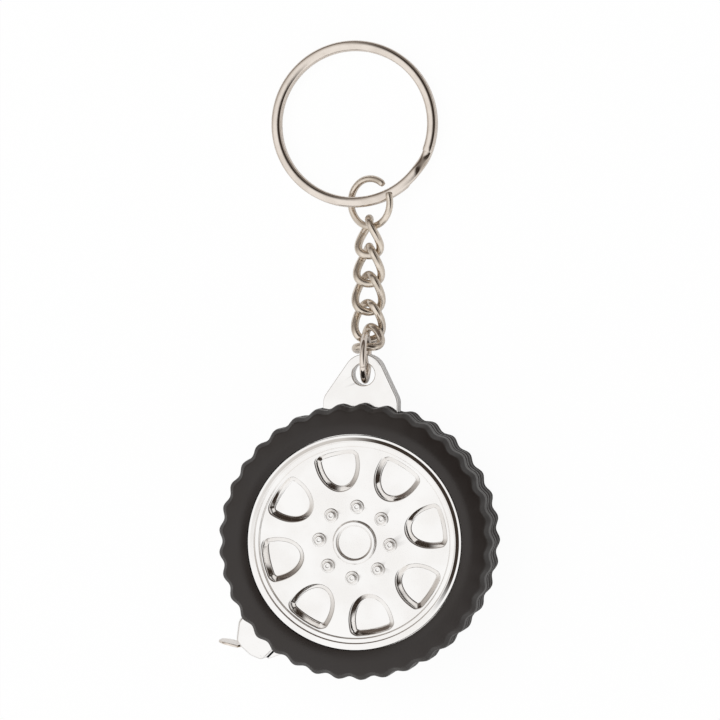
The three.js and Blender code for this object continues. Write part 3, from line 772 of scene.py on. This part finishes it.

# %% [markdown]
# ## Case
# The case is two plated cups that meet at mid-depth. Above the tyre they form a lug with a hole for
# the chain, and at the lower left a block with the slot for the tape, with a lower step beside it.
# Cup, lug, block and step are separate rounded shapes, joined and then cut with Boolean operations,
# because here they really do run into each other. A narrow groove parts the block from its step, and
# its faces get the black plastic as painted shade, for the dark line between them. At two other widths
# the exact Boolean lost the step or the whole case, so a change there wants a look at the result.

# %% Case, the lug's outline
tyre_radius = 20.22
lug_hole = Vector((0.4, 24.39))
lug_hole_radius = 1.65
lug_tip_radius = 2.95
lug_half_width = 5.5
lug_corner = 2.4
lug_corner_below_tyre = 0.06
lug_foot_heights = (15.6, 18.6)
LUG_CORNER_STEPS = 10
LUG_TIP_STEPS = 24


def lug_side(tip_x):
    """The right side up to the tip, and the angle at which the tip takes over."""
    corner = Vector((lug_half_width - lug_corner, tyre_radius - lug_corner_below_tyre))
    across, drop = corner.x - tip_x, lug_hole.y - corner.y
    spread = math.acos((lug_tip_radius - lug_corner) / math.hypot(across, drop))
    side = spread - math.atan2(drop, across)
    points = [Vector((lug_half_width, height)) for height in lug_foot_heights]
    for i in range(LUG_CORNER_STEPS + 1):
        angle = side * i / LUG_CORNER_STEPS
        points.append(corner + Vector((math.cos(angle), math.sin(angle))) * lug_corner)
    return points, side


def lug_outline():
    """A round tip about the hole, and sides that bend down into the tyre, counter-clockwise."""
    right, first = lug_side(lug_hole.x)
    left, last = lug_side(-lug_hole.x)
    tip = []
    for i in range(LUG_TIP_STEPS + 1):
        angle = first + (math.pi - last - first) * i / LUG_TIP_STEPS
        tip.append(lug_hole + Vector((math.cos(angle), math.sin(angle))) * lug_tip_radius)
    return [*right, *tip, *(Vector((-point.x, point.y)) for point in reversed(left))]


print("lug outline points:", len(lug_outline()))

# %% Case, the mouth's outline and slot
mouth_corners = [
    (-12.56, -9.11, 0),
    (-17.15, -11.58, 1.6),
    (-17.5, -14.82, 1.2),
    (-16.67, -15.86, 1.0),
    (-15.41, -16.95, 0.9),
    (-13.97, -17.52, 0.5),
    (-13.47, -17.42, 0.3),
    (-12.39, -16.32, 0.4),
    (-9.11, -12.96, 0),
]
mouth_step_corners = [
    (-11.75, -11.14, 0),
    (-13.97, -16.65, 0.2),
    (-13.37, -17.31, 0.3),
    (-12.74, -17.46, 0.3),
    (-11.18, -16.85, 0.3),
    (-6.08, -16.2, 0),
    (-6.08, -14.58, 0),
]
drum_radius = 13
tape_length = 1000
blade_thickness = 0.12
pack_radius = math.sqrt(drum_radius**2 + tape_length * blade_thickness / math.pi)
pack_to_lead = 0.21
lead_offset = pack_radius + pack_to_lead
slot_half_height = 3.3
slot_length = 40
slot_sides = (-0.88, 0.47)


def on_pull_line(along, away=0.0, height=0.0):
    """A point of the line on which the tape leaves, a distance along it and an offset from it."""
    return pull_normal * (lead_offset + away) + pull_direction * along + UP * height


def slot_cutter():
    """A box along the pull line, wider than the tape."""
    bm = bmesh.new()
    near, far = slot_sides
    for height in (-slot_half_height, slot_half_height):
        for along, away in ((0, near), (slot_length, near), (slot_length, far), (0, far)):
            bm.verts.new(on_pull_line(along, away, height))
    bmesh.ops.convex_hull(bm, input=bm.verts)
    return bm


print("pull line starts at", tuple(round(c, 2) for c in on_pull_line(0)))

# %% Case, the groove between the mouth and its step
groove_start = Vector((-13.47, -17.42, 0))
groove_along = Vector((4.36, 4.46, 0)).normalized()
groove_away = groove_along.cross(UP)
groove_reach = (-0.6, 5.3)
groove_sides = (0.12, 0.42)
groove_heights = (2.4, 5.0)
groove_margin = 0.02


def groove_cutter():
    """A narrow box along the groove."""
    bm = bmesh.new()
    for along in groove_reach:
        for away in groove_sides:
            for height in groove_heights:
                corner = groove_along * along + groove_away * away + UP * height
                bm.verts.new(groove_start + corner)
    bmesh.ops.convex_hull(bm, input=bm.verts)
    return bm


def paint_groove_shade(case, place):
    """The groove's faces get the black plastic, as painted shade for the dark line between block and
    step.
    """
    case.data.materials.append(inner_black)
    to_half = place.inverted()
    near, far = groove_sides[0] - groove_margin, groove_sides[1] + groove_margin
    for face in case.data.polygons:
        offset = to_half @ (face.center / MM) - groove_start
        across = near < offset.dot(groove_away) < far
        along = groove_reach[0] < offset.dot(groove_along) < groove_reach[1] + groove_margin
        high = groove_heights[0] - groove_margin < offset.z < groove_heights[1]
        if across and along and high:
            face.material_index = 1


print("groove width in mm:", round(groove_sides[1] - groove_sides[0], 2))


# %% Case, one half
CUP_STEPS = 128
LUG_HOLE_STEPS = 48
cup_outside = [(16.19, 0.03, 0.06), (16.19, 5.1, 0.2)]
cup_inside = [(2.6, 3.3, 0.1), (2.6, 4.2, 0), (15.19, 4.2, 0.4), (15.19, 0.03, 0.06)]
screw_well = [(1.96, 5.1, 0.08), (1.96, 4.4, 0), (1.08, 4.4, 0), (1.08, 3.3, 0)]
arbor_socket = [(0, 4.1), (1.08, 4.1), (1.08, 3.3)]
cup_top = (0, 5.1)
joint_height = 0.025
step_joint_height = 0.035
joint_edge = 0.06
lug_top, lug_edge = 2.0, 0.16
mouth_top, mouth_edge = 4.5, 0.5
step_top, step_edge = 3.8, 0.3


def build_cup(front):
    """The cup: open where the halves meet, with a boss for the arbor and its screw."""
    bm = bmesh.new()
    if front:
        points = rounded([*cup_outside, *screw_well, *cup_inside])
        turned(bm, [*points, points[0]], CUP_STEPS)
        bmesh.ops.remove_doubles(bm, verts=bm.verts, dist=1e-4)
    else:
        points = rounded([*cup_inside, *cup_outside], closed=False)
        turned(bm, [*arbor_socket, *points, cup_top], CUP_STEPS)
    return bm


def build_case_half(front):
    """Cup, lug, mouth block and step in one, with the groove and the slot cut out."""
    hole = circle(lug_hole_radius, LUG_HOLE_STEPS, lug_hole)[::-1]
    lug = rounded_plate(lug_outline(), joint_height, lug_top, joint_edge, lug_edge, [hole])
    mouth = rounded_plate(rounded(mouth_corners), joint_height, mouth_top, joint_edge, mouth_edge)
    step = rounded_plate(
        rounded(mouth_step_corners), step_joint_height, step_top, joint_edge, step_edge
    )
    half = combined(combined(build_cup(front), lug, "UNION"), mouth, "UNION")
    half = combined(combined(half, step, "UNION"), groove_cutter(), "DIFFERENCE")
    return combined(half, slot_cutter(), "DIFFERENCE")


half_places = {"front": WHEEL_PLACE, "rear": WHEEL_PLACE @ Matrix.Scale(-1, 4, UP)}
for side, place in half_places.items():
    half = build_case_half(side == "front")
    name, node = f"{side}_case", f"case_{side}"
    case = make_piece(name, half, chrome, "case", node, place)
    # The groove's faces get black plastic as painted shade.
    paint_groove_shade(case, place)

# %% [markdown]
# ## Tyre
# Each tyre half is a turned shape whose outside runs in and out 37 times round, so the tread is
# scalloped. The wave starts on the sidewall and is full at the shoulder, and what it moves inward it
# also lifts a little, so that it stays on the sidewall's slope. One shallow groove runs round the
# tread near the depth of the scallops' valleys, and the two halves meet in a deep seam. A lathe with a
# radius that depends on the angle gives all of it, and three cuts make room for lug, block and step.

# %% Tyre, the profile
SCALLOPS = 37
SCALLOP_STEPS = 14
scallop_depth = 0.52
scallop_phase = math.radians(30)
scallop_radii = (18.2, 19.9)
tread_groove_depth = 0.42
tread_groove_heights = (2.75, 3.25)
sidewall_slope = 0.206
sidewall_heights = (5.4, 6.5)
seam_depth = 0.6
tyre_room = 0.3
tyre_cut_edges = (0.01, 0.1)
tyre_cut_bottom = -1
tyre_profile = rounded(
    [
        (16.34, 0.15, 0),
        (16.34, 5.16, 0),
        (15.78, 5.16, 0),
        (15.78, 6.74, 0.1),
        (16.85, 7.1, 2.4),
        (19.42, 6.45, 0.6),
        (20.1, 5.35, 0.6),
        (tyre_radius, 3.5, 0.2),
        (tyre_radius - tread_groove_depth, 3.2, 0.12),
        (tyre_radius - tread_groove_depth, 2.8, 0.12),
        (tyre_radius, 2.5, 0.2),
        (tyre_radius, 0.95, 0.3),
        (tyre_radius - seam_depth, 0.15, 0.05),
    ],
    closed=False,
    steps=4,
)
print("tyre profile points:", len(tyre_profile))


# %% Tyre, the scalloped lathe
def even_share(value, start, end):
    """A share that goes evenly from 0 to 1 between two values."""
    return min(1, max(0, (value - start) / (end - start)))


def smooth_share(value, start, end):
    """The same with a soft start and end."""
    share = even_share(value, start, end)
    return share * share * (3 - 2 * share)


def tyre_ring(bm, radius, height):
    """A ring whose radius waves with the scallops; the groove's floor waves less."""
    depth = scallop_depth * smooth_share(radius, *scallop_radii)
    rise = sidewall_slope * smooth_share(height, *sidewall_heights)
    if tread_groove_heights[0] < height < tread_groove_heights[1]:
        depth = min(depth, scallop_depth - tread_groove_depth)
    steps = SCALLOPS * SCALLOP_STEPS
    ring = []
    for i in range(steps):
        angle = 2 * math.pi * i / steps
        inward = depth * (1 - math.cos(SCALLOPS * angle - scallop_phase)) / 2
        reach = radius - inward
        place = (reach * math.cos(angle), reach * math.sin(angle), height + rise * inward)
        ring.append(bm.verts.new(place))
    return ring


def build_tyre_half():
    """The scalloped ring, cut out a little larger than what it has to clear."""
    bm = bmesh.new()
    rings = [tyre_ring(bm, radius, height) for radius, height in tyre_profile]
    for lower, upper in zip(rings, [*rings[1:], rings[0]]):
        wall(bm, lower, upper)
    for outline, top in (
        (rounded(mouth_corners), mouth_top),
        (rounded(mouth_step_corners), step_top),
        (lug_outline(), lug_top),
    ):
        wide, high = grown(outline, tyre_room), top + tyre_room
        cutter = rounded_plate(wide, tyre_cut_bottom, high, *tyre_cut_edges)
        bm = combined(bm, cutter, "DIFFERENCE")
    return bm


for side, place in half_places.items():
    name, node = f"{side}_tyre", f"tyre_{side}"
    make_piece(name, build_tyre_half(), tyre_black, "case", node, place)

# %% [markdown]
# ## Tape and pull tab
# The tape is a thin strip that must reach from the case to the tab however far it is pulled. It is
# built with many short steps along the line on which it is pulled.
# The tab is sheet metal: its outline is made flat and then bent at the mouth, and a small rivet with
# two domed heads joins the two.

# %% Tape
TAPE_STEPS = 96
mouth_gap = 0.2
mouth_reach = max(Vector((x, y, 0)).dot(pull_direction) for x, y, _ in mouth_corners)
mouth_end = mouth_reach + mouth_gap
blade_setback = 0.35
blade_end = mouth_end - blade_setback
tongue_length = 3.2
blade_edge = 0.03
half_thick, half_wide = blade_thickness / 2, blade_width / 2
flat_section = [
    (half_thick, half_wide, blade_edge),
    (-half_thick, half_wide, blade_edge),
    (-half_thick, -half_wide, blade_edge),
    (half_thick, -half_wide, blade_edge),
]
tape_setback = 0.9
tape_end = blade_end - tape_setback
tape_path = [on_pull_line(tape_end * i / TAPE_STEPS) for i in range(TAPE_STEPS + 1)]
strip = sweep(tape_path, rounded(flat_section, steps=2))
tape = make_object("tape_strip", strip, tape_paint)
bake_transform(tape)
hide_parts("tape_lead")
report(tape, "tape_lead")

# %% Pull tab
tab_thickness = 0.35
tongue_face = 0.12
tab_bend = math.radians(17)
tab_length = 3.1
tab_half, tab_corner = 3.5, 2.2
tongue_half, tongue_corner = 2.5, 0.5
tab_notch = (0.25, 0.05)
tab_notch_corners = (0.15, 0.2)
tab_edge = 0.09
BEND_STEPS = 6
tab_start = blade_end - tongue_length
crease = mouth_end - tab_thickness / 2 - tab_start
crease_radius = 0.5


def bent(vertex):
    """Bends the flat tab (length, height, thickness) at its crease and sets it on the pull line."""
    length, height, depth = vertex.co
    curve = crease_radius * tab_bend
    turn = tab_bend * even_share(length, crease - curve / 2, crease + curve / 2)
    heading = Matrix.Rotation(-turn, 3, "Z") @ pull_direction
    across = Matrix.Rotation(-turn, 3, "Z") @ pull_normal
    middle = on_pull_line(tab_start + min(length, crease), -tongue_face - tab_thickness / 2)
    vertex.co = middle + heading * max(0, length - crease) + across * depth + UP * height


def build_pull_tab():
    """The tongue under the blade and the wider tab outside, cut into strips at the bend."""
    tip = crease + tab_length
    inner, outer = (crease - notch for notch in tab_notch)
    lower = [
        (0, -tongue_half, tongue_corner),
        (inner, -tongue_half, tab_notch_corners[0]),
        (outer, -tab_half, tab_notch_corners[1]),
        (tip, -tab_half, tab_corner),
    ]
    outline = rounded([*lower, *((x, -y, corner) for x, y, corner in reversed(lower))])
    half = tab_thickness / 2
    bm = rounded_plate(outline, -half, half, tab_edge, tab_edge)
    for i in range(BEND_STEPS + 1):
        place = crease + crease_radius * tab_bend * (i - BEND_STEPS / 2) / BEND_STEPS
        everything = [*bm.verts, *bm.edges, *bm.faces]
        bmesh.ops.bisect_plane(bm, geom=everything, plane_co=(place, 0, 0), plane_no=(1, 0, 0))
    for vertex in bm.verts:
        bent(vertex)
    return bm


make_piece("pull_tab_plate", build_pull_tab(), nickel, "tape_end", "pull_tab")

# %% Rivet
rivet_along = blade_end - tongue_length / 2
rivet_seat = 0.06
rivet_inner = -tongue_face - tab_thickness - rivet_seat
rivet_outer = tongue_face
rivet_shank = 0.6
rivet_head = [(0, 0.15), (0.45, 0.14), (0.75, 0.1), (0.95, 0.04), (1.0, 0)]
RIVET_STEPS = 32


def build_rivet():
    """A shank between two domed heads, turned."""
    bm = bmesh.new()
    profile = [(radius, rivet_inner - rise) for radius, rise in rivet_head]
    profile += [(rivet_shank, rivet_inner), (rivet_shank, rivet_outer)]
    profile += [(radius, rivet_outer + rise) for radius, rise in reversed(rivet_head)]
    turned(bm, profile, RIVET_STEPS)
    return bm


rivet_turn = Matrix((pull_direction, UP, pull_normal)).transposed().to_4x4()
rivet_place = WHEEL_PLACE @ Matrix.Translation(on_pull_line(rivet_along)) @ rivet_turn
make_piece(
    "rivet_of_the_tab", build_rivet(), nickel, "tape_end", "tab_rivet", rivet_place
)

# %% [markdown]
# ## Chain
# A curb link is an oval of round wire, twisted so that it lies flat when it laces through the next
# one. Its centre line is an ellipse whose height rises and falls twice round. The wire's two ends meet
# in a fine seam, made here by one narrow ring of points that pulls in. Each link is seated by one
# end on the link before it, and leans, rolls and turns as the chain in the photograph does.

# %% Link and ring shapes
link_wire = 1.2
link_wire_drawn = 1.15
link_half_width = 2.05
link_half_length = 2.75
link_twist = 0.86
lug_ring_wire = 0.95
lug_ring_radius = 3.325
lug_ring_seam = math.radians(200)
WIRE_STEPS = 110
SECTION_STEPS = 20
SEAM = math.radians(0.9)
seam_reach = 3 * SEAM
seam_shares = (0.985, 0.86)


def seamed_angles(seam_angle):
    """Angles once round with extra ones at the seam, and the share of the wire's size at each."""
    step = (2 * math.pi - 2 * seam_reach) / WIRE_STEPS
    angles = [(seam_angle + seam_reach + i * step, 1.0) for i in range(WIRE_STEPS + 1)]
    beside, middle = seam_shares
    seam = [(seam_angle - SEAM, beside), (seam_angle, middle), (seam_angle + SEAM, beside)]
    return [*angles, *seam]


def build_link(seam_angle):
    """A twisted oval of wire."""
    angles = seamed_angles(seam_angle)
    path = [
        Vector((
            link_half_width * math.cos(a),
            link_half_length * math.sin(a),
            link_twist * math.sin(2 * a),
        ))
        for a, _ in angles
    ]
    shares = [share for _, share in angles]
    return sweep(path, circle(link_wire_drawn / 2, SECTION_STEPS), closed=True, shares=shares)


def build_lug_ring():
    """A round ring of wire."""
    angles = seamed_angles(lug_ring_seam)
    path = [Vector((math.cos(a), math.sin(a), 0)) * lug_ring_radius for a, _ in angles]
    shares = [share for _, share in angles]
    return sweep(path, circle(lug_ring_wire / 2, SECTION_STEPS), closed=True, shares=shares)


print("wire of links and lug ring in mm:", link_wire_drawn, lug_ring_wire)

# %% Lug ring
lug_ring_rise = 4.03
lug_ring_y = lug_hole.y - lug_hole_radius + lug_ring_rise
lug_ring_centre = Vector((lug_hole.x, lug_ring_y, wheel_height))
upright = Matrix.Translation(lug_ring_centre) @ Matrix.Rotation(math.pi / 2, 4, "Y")
make_piece(
    "ring_in_the_lug", build_lug_ring(), nickel, "lug_ring", "lug_ring", upright
)


# %% Links
def lie(lean, roll, turn):
    """A lean about X, then a roll about Y, then a turn about Z, in degrees."""
    return (
        Matrix.Rotation(math.radians(turn), 3, "Z")
        @ Matrix.Rotation(math.radians(roll), 3, "Y")
        @ Matrix.Rotation(math.radians(lean), 3, "X")
    )


def seated(turn, own_point, place):
    """The placing matrix that brings a point of the piece to a place."""
    return Matrix.Translation(place - turn @ own_point) @ turn.to_4x4()


link_lies = {5: (112, 0, 38), 4: (3, -14, 0), 3: (0, -22, 0), 2: (0, -36, 0), 1: (1, -49, 0)}
link_seams = {5: 262, 4: 170, 3: 175, 2: 168, 1: 172}
hook = Vector((0.137, 0.47, -0.255)) * lug_ring_radius
foot = Vector((0.49, -0.56, 0.91)) * link_wire
link_top = Vector((0, link_half_length, 0))
link_slack = 0.15
place = lug_ring_centre + hook
for number, angles in link_lies.items():
    turn = lie(*angles)
    standing = number == 5
    matrix = seated(turn, link_top if standing else -link_top, place)
    far_end = matrix @ (-link_top if standing else link_top)
    step = foot if standing else turn @ Vector((0, -link_wire - link_slack, 0))
    place = far_end + step
    make_piece(
        f"curb_link_{number}",
        build_link(math.radians(link_seams[number])),
        dull_nickel,
        f"link_{number}",
        f"chain_link_{number}",
        matrix,
    )

# %% [markdown]
# ## Jump ring and key ring
# The jump ring is an open C of round wire whose cut ends are pinched a little. The key ring is a split
# ring: flattened wire wound twice round, with a short step from the upper turn to the lower one. Both
# are a section led along a path.

# %% Jump ring
jump_radius = 3.525
jump_wire = 1.05
jump_wire_drawn = 1.01
jump_first, jump_last = math.radians(49), math.radians(385)
jump_lie = (1, -29, 0)
jump_end_share = 0.72
jump_end_reach = (-0.006, 0.022)
jump_seat = Vector((0.15, -1.16, 0.1)) * jump_wire
jump_place = place + Vector((0, link_wire + link_slack, 0)) + jump_seat


def build_jump_ring():
    """An open ring of wire, a little thinner at its cut ends."""
    path, shares = [], []
    for i in range(WIRE_STEPS + 1):
        angle = jump_first + (jump_last - jump_first) * i / WIRE_STEPS
        path.append(Vector((math.cos(angle), math.sin(angle), 0)) * jump_radius)
        from_end = min(i, WIRE_STEPS - i) / WIRE_STEPS
        grown_share = smooth_share(from_end, *jump_end_reach)
        shares.append(jump_end_share + (1 - jump_end_share) * grown_share)
    return sweep(path, circle(jump_wire_drawn / 2, SECTION_STEPS), shares=shares)


jump_matrix = seated(lie(*jump_lie), Vector((0, -jump_radius, 0)), jump_place)
make_piece(
    "open_jump_ring",
    build_jump_ring(),
    dull_nickel,
    "jump_ring",
    "jump_ring",
    jump_matrix,
)

# %% Key ring
key_radius = 11.55
key_layer = 0.57
key_start = math.radians(-20)
key_whole = math.radians(693)
key_step = (math.radians(342), math.radians(358))
key_half_width, key_half_height = 0.745, 0.49
key_roundness = 0.92
key_end_share = 0.9
key_seat = Vector((-0.742, 0.001, -0.018)) * jump_radius
key_lie = (-3, 0, 0)
KEY_STEPS = 420
KEY_SECTION_STEPS = 28


def key_section():
    """A full oval, with flanks as steep as those of rolled wire."""
    points = []
    for point in circle(1, KEY_SECTION_STEPS):
        x = math.copysign(abs(point.x) ** key_roundness, point.x) * key_half_width
        y = math.copysign(abs(point.y) ** key_roundness, point.y) * key_half_height
        points.append(Vector((x, y)))
    return points


def build_key_ring():
    """Nearly two turns of wire, which step from the upper layer down to the lower one."""
    path, shares = [], []
    for i in range(KEY_STEPS + 1):
        travel = key_whole * i / KEY_STEPS
        angle = key_start + travel
        height = key_layer * (1 - 2 * smooth_share(travel, *key_step))
        path.append(Vector((key_radius * math.cos(angle), key_radius * math.sin(angle), height)))
        shares.append(key_end_share if i in (0, KEY_STEPS) else 1)
    return sweep(path, key_section(), shares=shares)


key_place = jump_matrix.translation + key_seat
key_matrix = seated(lie(*key_lie), Vector((0, -key_radius, 0)), key_place)
make_piece(
    "split_key_ring", build_key_ring(), nickel, "key_ring", "key_ring", key_matrix
)

# %% [markdown]
# ## Pieces inside
# The drum, its cover, the wound tape, the spring, the arbor and the screw are hidden in the case. Their
# CAD shapes are right as they are, so they stay and only get their finishes.

# %% Finish the pieces inside
inner_finishes = {
    "tape_reel": inner_black,
    "reel_cover": inner_black,
    "centre_arbor": inner_black,
    "centre_screw": zinc,
    "return_spring": blued_steel,
    "tape_wound": tape_paint,
}
for node, material in inner_finishes.items():
    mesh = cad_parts[node].data
    mesh.materials.clear()
    mesh.materials.append(material)
print("finished inside:", list(inner_finishes))
